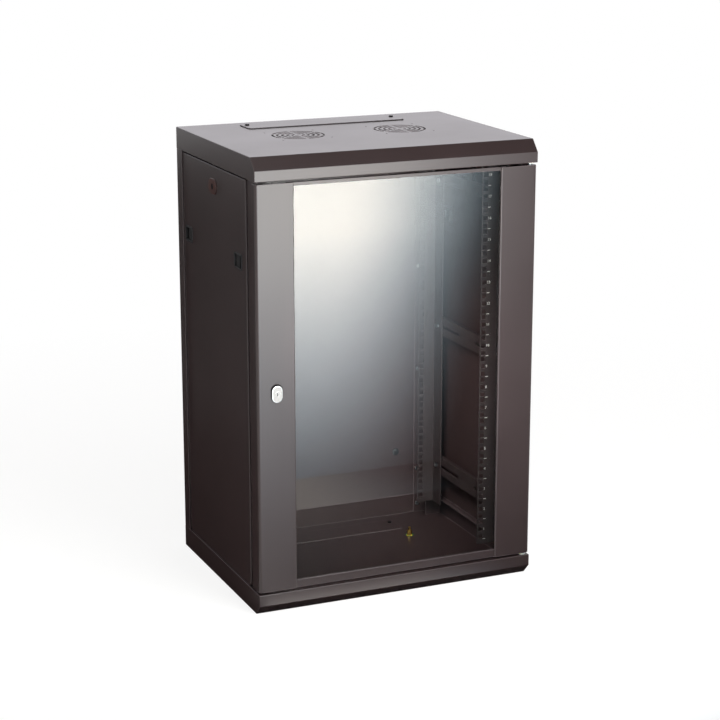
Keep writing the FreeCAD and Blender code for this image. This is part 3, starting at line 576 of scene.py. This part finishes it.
class CABINET_OT_door_lock(bpy.types.Operator):
    """Finish the cam lock of the door and fill its key slot with a black leaf, as painted shade for the
    slot's depth.
    """

    bl_idname = "cabinet.door_lock"
    bl_label = "Door lock"

    slot_size = (1.6 * MM, 7.0 * MM)
    slot_depth = 8.0 * MM
    shutter_drop = 0.5 * MM
    play = 0.12 * MM

    def execute(self, context):
        finish(chromed_zinc_casting, "lock_body", "lock_plug")
        finish(zinc_plated_steel, "lock_nut", "lock_cam")
        finish(extruded_rubber, "lock_gasket")
        # The key slot's dark depth is painted with a black leaf
        self.add_shutter()
        return {"FINISHED"}

    def add_shutter(self):
        """Black leaf that fills the key slot to just under the face of the plug, as painted shade for the
        slot's depth.
        """
        low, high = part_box("lock_plug")
        middle = (low + high) / 2
        width, height = (size - 2 * self.play for size in self.slot_size)
        depth = self.slot_depth - self.shutter_drop - self.play
        shape = bmesh.new()
        bmesh.ops.create_cube(shape, size=1)
        shape.transform(Matrix.Diagonal((width, depth, height, 1)))
        shape.transform(Matrix.Translation((middle.x, low.y + self.shutter_drop + depth / 2, middle.z)))
        black = finish(blackened_steel)
        mesh_piece("lock_slot_shade_leaf", mesh_of(shape, "lock_slot_shade_leaf"), black, "door_lock_core")


class CABINET_OT_rails(bpy.types.Operator):
    """Paint the rails and the brackets that carry them."""

    bl_idname = "cabinet.rails"
    bl_label = "Rails"

    def execute(self, context):
        finish(matt_powder_coat, *both_sides(
            "front_rail", "rear_rail", "lower_bracket", "middle_bracket", "upper_bracket"))
        return {"FINISHED"}


def figure_mesh(number, height):
    """Flat outline of a printed number, as a mesh at the origin."""
    # Height of a figure as a share of the font's size
    figure_share = 0.7
    curve = bpy.data.curves.new("figure", "FONT")
    curve.body = str(number)
    curve.size = height / figure_share
    curve.resolution_u = 3
    holder = bpy.data.objects.new("figure", curve)
    mesh = bpy.data.meshes.new_from_object(holder)
    bpy.data.objects.remove(holder)
    bpy.data.curves.remove(curve)
    return mesh


def thicken(shape, depth):
    """Give flat faces a thickness, towards the side that they face."""
    faces = list(shape.faces)
    made = bmesh.ops.extrude_face_region(shape, geom=faces, use_keep_orig=True)
    moved = [item for item in made["geom"] if isinstance(item, bmesh.types.BMVert)]
    bmesh.ops.translate(shape, vec=Vector((0, 0, depth)), verts=moved)
    bmesh.ops.recalc_face_normals(shape, faces=shape.faces)


class CABINET_OT_unit_marks(bpy.types.Operator):
    """Print a line and a number beside each rack unit on the four rails."""

    bl_idname = "cabinet.unit_marks"
    bl_label = "Unit marks"

    # Sizes of the 19-inch standard
    unit = 44.45 * MM
    hole_columns = 465.1 * MM
    hole = 9.5 * MM
    # Sizes of this cabinet
    units = 18
    cover_height = 45.0 * MM
    unit_margin = 12.45 * MM

    def execute(self, context):
        sizes = context.scene.cabinet_marks
        ink = finish(screen_printed_ink)
        for side, hand in (("left", -1), ("right", 1)):
            for end, facing in (("front", -1), ("rear", 1)):
                self.print_rail(sizes, ink, side, hand, end, facing)
        return {"FINISHED"}

    def print_rail(self, sizes, ink, side, hand, end, facing):
        """Print one rail on the face that equipment is screwed to."""
        low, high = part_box(f"{side}_{end}_rail")
        face_y = low.y if facing < 0 else high.y
        # The print reads from the front on front rails and from the back on rear ones
        reading = -facing
        start_x = hand * ((self.hole_columns + self.hole) / 2 + sizes.hole_clearance)
        shape = bmesh.new()
        for number in range(1, self.units + 1):
            level = self.cover_height + self.unit_margin + (number - 1) * self.unit
            self.print_line(shape, sizes, start_x * reading, hand * reading, level)
            self.print_figure(shape, sizes, number, start_x * reading, hand * reading, level)
        thicken(shape, sizes.ink_thickness)
        on_face = Matrix(((reading, 0, 0, 0), (0, 0, facing, face_y), (0, 1, 0, 0), (0, 0, 0, 1)))
        shape.transform(on_face)
        bmesh.ops.recalc_face_normals(shape, faces=shape.faces)
        name = f"{side}_{end}_rail_marks"
        mesh_piece(name, mesh_of(shape, name), ink, f"{side}_{end}_rail_set")

    def print_line(self, shape, sizes, start, hand, level):
        """Line under a rack unit, from the holes outwards."""
        end = start + hand * sizes.line_length
        half = sizes.line_width / 2
        corners = ((start, level - half), (end, level - half), (end, level + half), (start, level + half))
        shape.faces.new([shape.verts.new((x, z, 0)) for x, z in corners])

    def print_figure(self, shape, sizes, number, start, hand, level):
        """Number in the middle of a rack unit, from the holes outwards."""
        mesh = figure_mesh(number, sizes.figure_height)
        width = max(vertex.co.x for vertex in mesh.vertices)
        left = start if hand > 0 else start - width
        lower = level + (self.unit - sizes.figure_height) / 2
        mesh.transform(Matrix.Translation((left, lower, 0)))
        shape.from_mesh(mesh)
        bpy.data.meshes.remove(mesh)


class CABINET_OT_fasteners(bpy.types.Operator):
    """Finish the bolts, screws, pins, spring and bushes."""

    bl_idname = "cabinet.fasteners"
    bl_label = "Fasteners"

    wire_radius = 0.6 * MM
    wire_sides = 12
    turns = 7
    turn_steps = 40
    # Pitch of the closed turn at each end, a little over the wire's thickness
    end_pitch = 1.3 * MM

    def execute(self, context):
        finish(zinc_plated_steel, "bracket_bolts", "frame_screws", "rear_panel_screws", "upper_hinge_pin",
               "lower_hinge_pin", "hinge_spring", *both_sides("front_rail_bolts", "rear_rail_bolts"))
        finish(blackened_steel, "cable_cover_screws")
        finish(moulded_nylon, "hinge_bushes")
        self.add_spring()
        return {"FINISHED"}

    def level(self, turn, length):
        """Height of the wire after some turns, with a closed turn at each end."""
        if turn <= 1:
            return turn * self.end_pitch
        if turn >= self.turns - 1:
            return length - (self.turns - turn) * self.end_pitch
        open_length = length - 2 * self.end_pitch
        return self.end_pitch + open_length * (turn - 1) / (self.turns - 2)

    def add_spring(self):
        """Coil with a closed turn at each end, in place of the solid hinge spring; it keeps its length when
        the upper hinge pin is pulled down.
        """
        low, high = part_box("hinge_spring")
        radius = (high.x - low.x) / 2 - self.wire_radius
        length = high.z - low.z - 2 * self.wire_radius
        middle = Vector(((low.x + high.x) / 2, (low.y + high.y) / 2, low.z + self.wire_radius))
        shape = bmesh.new()
        rings = []
        for step in range(self.turns * self.turn_steps + 1):
            turn = step / self.turn_steps
            spin = Matrix.Rotation(2 * math.pi * turn, 3, "Z")
            ring = []
            for side in range(self.wire_sides):
                angle = 2 * math.pi * side / self.wire_sides
                across = radius + self.wire_radius * math.cos(angle)
                up = self.level(turn, length) + self.wire_radius * math.sin(angle)
                ring.append(shape.verts.new(middle + spin @ Vector((across, 0, up))))
            rings.append(ring)
        for ring, after in zip(rings, rings[1:]):
            for side in range(self.wire_sides):
                other = (side + 1) % self.wire_sides
                shape.faces.new((ring[side], ring[other], after[other], after[side]))
        shape.faces.new(rings[0])
        shape.faces.new(rings[-1])
        bmesh.ops.recalc_face_normals(shape, faces=shape.faces)
        zinc = finish(zinc_plated_steel)
        mesh = mesh_of(shape, "hinge_coil_spring")
        spring = mesh_piece("hinge_coil_spring", mesh, zinc, "door")
        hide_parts("hinge_spring")
        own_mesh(spring)


class CABINET_OT_earth_point(bpy.types.Operator):
    """Finish the earth stud and lay its yellow and green ring."""

    bl_idname = "cabinet.earth_point"
    bl_label = "Earth point"

    inner = 6.5 * MM

    def execute(self, context):
        finish(turned_brass, "earth_stud")
        sizes = context.scene.cabinet_marks
        low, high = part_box("earth_stud")
        middle = (low + high) / 2
        outer = sizes.earth_ring
        top = sizes.ink_thickness
        shape = turned(((self.inner, 0), (outer, 0), (outer, top), (self.inner, top), (self.inner, 0)))
        shape.transform(Matrix.Translation((middle.x, middle.y, SHEET)))
        vinyl = finish(printed_earth_vinyl)
        mesh_piece("earth_mark", mesh_of(shape, "earth_mark"), vinyl, "cabinet")
        return {"FINISHED"}


class CABINET_OT_wall_plugs(bpy.types.Operator):
    """Close the four wall-fixing holes with plugs that pull out to the inside."""

    bl_idname = "cabinet.wall_plugs"
    bl_label = "Wall plugs"

    rim = 3.0 * MM
    rim_edge = 0.6 * MM
    crown = 2.2 * MM
    play = 0.1 * MM
    crown_steps = 5

    def execute(self, context):
        fixing = next(mount for mount in frame["record"]["mounts"] if mount["name"] == "wall_bolts")
        hole = fixing["dims"]["hole_r_mm"] * MM
        half_x = fixing["dims"]["spacing_x_mm"] * MM / 2
        half_z = fixing["dims"]["spacing_y_mm"] * MM / 2
        middle = Vector(fixing["pos_m"])
        shank = hole - self.play
        head = hole + self.rim
        profile = [(0, 0), (shank, 0), (shank, SHEET), (head, SHEET)]
        for step in range(self.crown_steps + 1):
            angle = math.pi / 2 * step / self.crown_steps
            height = SHEET + self.rim_edge + self.crown * math.sin(angle)
            profile.append((head * math.cos(angle), height))
        inwards = Matrix.Rotation(math.pi / 2, 4, "X")
        plugs = bmesh.new()
        for x in (-half_x, half_x):
            for z in (-half_z, half_z):
                plug = turned(profile)
                plug.transform(Matrix.Translation(middle + Vector((x, 0, z))) @ inwards)
                mesh = mesh_of(plug, "wall_plug")
                plugs.from_mesh(mesh)
                bpy.data.meshes.remove(mesh)
        plastic = finish(moulded_abs)
        mesh_piece("wall_plugs", mesh_of(plugs, "wall_plugs"), plastic, "cabinet")
        return {"FINISHED"}


# Studio

def white_room(name, colour, near, far):
    """Matt white that looks white to the camera and in reflections, and takes a shadow near the cabinet.

    Two shares say how much of it glows near the cabinet and far away.
    """
    near_distance = 0.8
    far_distance = 2.2
    material, tree = new_material(name)
    place = add_node(tree, "ShaderNodeTexCoord").outputs["Object"]
    distance = add_node(tree, "ShaderNodeVectorMath", {0: place}, operation="LENGTH")
    glow = add_node(
        tree, "ShaderNodeMapRange",
        {"Value": distance.outputs["Value"], "From Min": near_distance, "From Max": far_distance,
         "To Min": near, "To Max": far}
    )
    speck = add_node(tree, "ShaderNodeTexNoise", {"Vector": place, "Scale": per_metre(400), "Detail": 2.0})
    rough = add_node(
        tree, "ShaderNodeMapRange", {"Value": speck.outputs["Fac"], "To Min": 0.8, "To Max": 0.95}
    )
    matt = add_node(tree, "ShaderNodeBsdfDiffuse", {"Color": colour, "Roughness": rough.outputs["Result"]})
    ray = add_node(tree, "ShaderNodeLightPath")
    seen = add_node(
        tree, "ShaderNodeMath",
        {0: ray.outputs["Is Camera Ray"], 1: ray.outputs["Is Glossy Ray"]}, operation="MAXIMUM"
    )
    seen = add_node(
        tree, "ShaderNodeMath",
        {0: seen.outputs["Value"], 1: ray.outputs["Is Transmission Ray"]}, operation="MAXIMUM"
    )
    lit = add_node(tree, "ShaderNodeEmission", {"Color": (1, 1, 1, 1), "Strength": 1.0})
    share = add_node(
        tree, "ShaderNodeMath", {0: seen.outputs["Value"], 1: glow.outputs["Result"]}, operation="MULTIPLY"
    )
    both = add_node(
        tree, "ShaderNodeMixShader",
        {"Fac": share.outputs["Value"], 1: matt.outputs["BSDF"], 2: lit.outputs["Emission"]}
    )
    add_node(tree, "ShaderNodeOutputMaterial", {"Surface": both.outputs["Shader"]})
    return material


def stage_mesh(name, points, faces, material):
    """Link a mesh that belongs to the studio."""
    mesh = bpy.data.meshes.new(name)
    mesh.from_pydata(points, [], faces)
    mesh.materials.append(material)
    made = bpy.data.objects.new(name, mesh)
    bpy.context.scene.collection.objects.link(made)
    return made


def fading_card(
    name, strength, across, along, up="Z", slant=0.0, curve=1.0, tint="#FFFBF4", left=None, top=None,
    sheer=False
):
    """Glowing card that fades and cools towards its edges, to black or, where it is sheer, to clear.

    Each fade is a pair of shares of the card's width or height: where its glow starts and where it is full.
    """
    cool = linear("#DAF0FF")
    material, tree = new_material(name)
    place = add_node(tree, "ShaderNodeTexCoord").outputs["Generated"]
    parts = add_node(tree, "ShaderNodeSeparateXYZ", {"Vector": place})
    lean = add_node(
        tree, "ShaderNodeMath",
        {0: parts.outputs[up], 1: -slant, 2: parts.outputs["X"]}, operation="MULTIPLY_ADD"
    )
    upwards = add_node(
        tree, "ShaderNodeMapRange", {"Value": parts.outputs[up], "From Min": along[0], "From Max": along[1]}
    )
    share = add_node(tree, "ShaderNodeMath", {0: upwards.outputs["Result"], 1: curve}, operation="POWER")
    edges = [(lean.outputs["Value"], across), (parts.outputs["X"], left), (parts.outputs[up], top)]
    for value, limits in edges:
        if limits:
            edge = add_node(
                tree, "ShaderNodeMapRange",
                {"Value": value, "From Min": limits[0], "From Max": limits[1]},
                interpolation_type="SMOOTHSTEP"
            )
            share = add_node(
                tree, "ShaderNodeMath",
                {0: share.outputs["Value"], 1: edge.outputs["Result"]}, operation="MULTIPLY"
            )
    colour = add_node(
        tree, "ShaderNodeMix",
        {"Factor": share.outputs["Value"], MIX_A: cool, MIX_B: linear(tint)}, data_type="RGBA"
    )
    glow = add_node(
        tree, "ShaderNodeEmission", {"Color": colour.outputs[MIX_RESULT], "Strength": strength}
    )
    if sheer:
        rest = add_node(tree, "ShaderNodeBsdfTransparent").outputs["BSDF"]
    else:
        rest = add_node(tree, "ShaderNodeEmission", {"Strength": 0.0}).outputs["Emission"]
    both = add_node(
        tree, "ShaderNodeMixShader", {"Fac": share.outputs["Value"], 1: rest, 2: glow.outputs["Emission"]}
    )
    add_node(tree, "ShaderNodeOutputMaterial", {"Surface": both.outputs["Shader"]})
    return material


def hide_card(card, lights):
    """Keep a card out of the picture, and one that gives no light out of all but reflections and glass."""
    card.visible_camera = False
    card.visible_shadow = False
    card.visible_diffuse = lights


def upright_card(name, x_range, y, z_range, material, lights=True):
    """Upright card across the room."""
    left, right = x_range
    low, high = z_range
    points = [(left, y, low), (right, y, low), (right, y, high), (left, y, high)]
    hide_card(stage_mesh(name, points, [(0, 1, 2, 3)], material), lights)


def floor_card(name, left, right, y_range, material, z=0.5 * MM):
    """Level card for reflections and glass, with its left edge given at its near and far ends."""
    near, far = y_range
    near_left, far_left = left
    points = [(near_left, near, z), (right, near, z), (right, far, z), (far_left, far, z)]
    hide_card(stage_mesh(name, points, [(0, 1, 2, 3)], material), False)


def soft_lamp(name, size, spread, energy, place, target):
    """Soft lamp that lights matt paint and is mirrored nowhere, with its spread in degrees."""
    light = bpy.data.lights.new(name, "AREA")
    light.shape = "RECTANGLE"
    light.size, light.size_y = size
    light.spread = math.radians(spread)
    light.energy = energy
    lamp = bpy.data.objects.new(name, light)
    lamp.location = place
    aim = Vector(target) - lamp.location
    lamp.rotation_euler = aim.to_track_quat("-Z", "Y").to_euler()
    lamp.visible_camera = False
    lamp.visible_glossy = False
    lamp.visible_transmission = False
    bpy.context.scene.collection.objects.link(lamp)


class CABINET_OT_stage(bpy.types.Operator):
    """Build the white room, its lights and the camera."""

    bl_idname = "cabinet.stage"
    bl_label = "Stage"

    wall_sides = 96
    # Width of the camera's sensor in millimetres
    sensor_width = 36
    # The two front cards share their strength and the fade of their upper ends
    card_strength = 12.2
    card_top = (1.0, 0.52)

    def execute(self, context):
        stage = context.scene.cabinet_stage
        self.build_room(stage)
        self.build_lights(context.scene)
        self.build_camera(context.scene, stage)
        context.scene.view_settings.view_transform = "Standard"
        return {"FINISHED"}

    def build_room(self, stage):
        """Round floor and wall."""
        ring = []
        for step in range(self.wall_sides):
            angle = 2 * math.pi * step / self.wall_sides
            ring.append((stage.room_radius * math.cos(angle), stage.room_radius * math.sin(angle)))
        floor = white_room("studio_floor_paint", stage.white, near=0.8, far=1.0)
        stage_mesh("studio_floor", [(x, y, 0) for x, y in ring], [tuple(range(self.wall_sides))], floor)
        wall = white_room("studio_wall_paint", stage.white, near=1.0, far=1.0)
        points = [(x, y, 0) for x, y in ring] + [(x, y, stage.room_height) for x, y in ring]
        faces = []
        for step in range(self.wall_sides):
            after = (step + 1) % self.wall_sides
            faces.append((step, after, after + self.wall_sides, step + self.wall_sides))
        stage_mesh("studio_wall", points, faces, wall)

    def build_lights(self, scene):
        """White air, the cards and felts that the cabinet mirrors, and two lamps."""
        world = bpy.data.worlds.new("studio_air")
        scene.world = world
        world.use_nodes = True
        backdrop = world.node_tree.nodes["Background"]
        backdrop.inputs["Color"].default_value = (1, 1, 1, 1)
        backdrop.inputs["Strength"].default_value = 1.0
        self.hang_front_cards()
        self.lay_front_floor()
        self.hang_other_cards()
        soft_lamp(
            "inside_lamp", size=(0.2, 0.3), spread=60, energy=2.7, place=(-0.15, -0.42, 0.75),
            target=(0.14, 0.08, 0.36)
        )
        soft_lamp(
            "left_lamp", size=(1.0, 0.3), spread=120, energy=1.2, place=(-1.2, 0.0, 0.2),
            target=(-0.3, 0.0, 0.1)
        )

    def hang_front_cards(self):
        """Cards in front of the door, which the pane and the profiles mirror as a soft gradient."""
        key = fading_card(
            "front_card_light", self.card_strength, across=(0.6856, 0.2457), along=(-0.133, 0.4),
            slant=0.307, curve=1.7, top=self.card_top
        )
        upright_card("front_card", x_range=(-0.2, 0.85), y=-1.0, z_range=(0.0, 1.5), material=key)
        strip = fading_card(
            "left_strip_light", self.card_strength, across=(1.0, 0.64), along=(-0.12, 0.43),
            tint="#FBFFFC", left=(0.0, 0.528), top=self.card_top, sheer=True
        )
        upright_card(
            "left_strip", x_range=(-0.55, 0.075), y=-0.998, z_range=(0.0, 1.5), material=strip, lights=False
        )
        # The chrome lock mirrors this spot, which keeps it from clipping
        shade = fading_card(
            "lock_shade_felt", 1.0, across=(1.0, 0.88), along=(0.0, 0.33),
            tint="#FFFFFF", left=(0.0, 0.4), top=(1.0, 0.66), sheer=True
        )
        upright_card(
            "lock_shade", x_range=(-0.06, 0.085), y=-0.996, z_range=(0.10, 0.35), material=shade,
            lights=False
        )

    def lay_front_floor(self):
        """Cards on the floor in front, which the lower half of the pane mirrors."""
        low = fading_card("front_floor_light", 1.15, across=(0.55, 0.025), along=(-1.0, 0.0), up="Y")
        floor_card("front_floor_card", left=(0.055, -0.03), right=0.85, y_range=(-1.0, -0.79), material=low)
        near = fading_card("front_floor_felt", 0.25, across=(0.60, 0.1), along=(1.0, 0.0), up="Y")
        floor_card(
            "front_floor_flag", left=(-0.03, -0.20), right=0.85, y_range=(-0.79, -0.34), material=near
        )

    def hang_other_cards(self):
        """Card behind for the top, card at the foot for the lower lip, and felts for the dark faces."""
        back = fading_card("back_card_light", 2.25, across=(0.0, 0.25), along=(0.0, 0.2), tint="#F9F5FA")
        upright_card("back_card", x_range=(-1.5, 2.5), y=2.4, z_range=(0.9, 2.6), material=back)
        black = fading_card("black_felt", 0.0, across=(0.0, 1.0), along=(0.0, 1.0))
        floor_card("left_floor_flag", left=(-1.3, -1.3), right=-0.2, y_range=(-0.1, 1.1), material=black)
        floor_card("foot_flag", left=(-0.36, -0.36), right=0.5, y_range=(-0.34, -0.1), material=black)
        foot = fading_card(
            "foot_card_light", 6.5, across=(1.0, 0.45), along=(0.0, 0.4), up="Y",
            tint="#FFF6EE", top=(1.0, 0.6), sheer=True
        )
        floor_card(
            "foot_card", left=(-0.27, -0.27), right=0.33, y_range=(-0.30, -0.25), material=foot, z=0.7 * MM
        )
        upright_card(
            "left_flag", x_range=(-1.3, -0.4), y=1.1, z_range=(0.0, 0.74), material=black, lights=False
        )
        floor_card("ceiling_flag", left=(0.3, 0.3), right=3.0, y_range=(-2.2, 1.0), material=black, z=2.6)

    def build_camera(self, scene, stage):
        """Camera that sees the cabinet from the front left and above."""
        lens = bpy.data.cameras.new("camera")
        lens.sensor_width = self.sensor_width
        lens.lens = stage.camera_lens
        camera = bpy.data.objects.new("camera", lens)
        camera.location = stage.camera_place
        camera.rotation_euler = (math.pi / 2 - stage.camera_pitch, 0, -stage.camera_heading)
        scene.collection.objects.link(camera)
        scene.camera = camera


PIECES = (
    CABINET_OT_covers,
    CABINET_OT_posts,
    CABINET_OT_side_panels,
    CABINET_OT_door,
    CABINET_OT_door_lock,
    CABINET_OT_rails,
    CABINET_OT_unit_marks,
    CABINET_OT_fasteners,
    CABINET_OT_earth_point,
    CABINET_OT_wall_plugs,
    CABINET_OT_stage,
)


class CABINET_PT_sidebar(bpy.types.Panel):
    """Steps that dress the cabinet, in order."""

    bl_idname = "CABINET_PT_sidebar"
    bl_label = "Cabinet"
    bl_space_type = "VIEW_3D"
    bl_region_type = "UI"
    bl_category = "Cabinet"

    def draw(self, context):
        for piece in PIECES:
            self.layout.operator(piece.bl_idname)


GROUPS = (CabinetFinishes, CabinetMarks, CabinetStage)


def register():
    for made in (*GROUPS, *PIECES, CABINET_PT_sidebar):
        bpy.utils.register_class(made)
    bpy.types.Scene.cabinet_finishes = bpy.props.PointerProperty(type=CabinetFinishes)
    bpy.types.Scene.cabinet_marks = bpy.props.PointerProperty(type=CabinetMarks)
    bpy.types.Scene.cabinet_stage = bpy.props.PointerProperty(type=CabinetStage)


def unregister():
    del bpy.types.Scene.cabinet_stage
    del bpy.types.Scene.cabinet_marks
    del bpy.types.Scene.cabinet_finishes
    for made in (CABINET_PT_sidebar, *reversed(PIECES), *reversed(GROUPS)):
        bpy.utils.unregister_class(made)


def main():
    register()
    for piece in PIECES:
        group, name = piece.bl_idname.split(".")
        getattr(getattr(bpy.ops, group), name)()


if __name__ == "__main__":
    main()
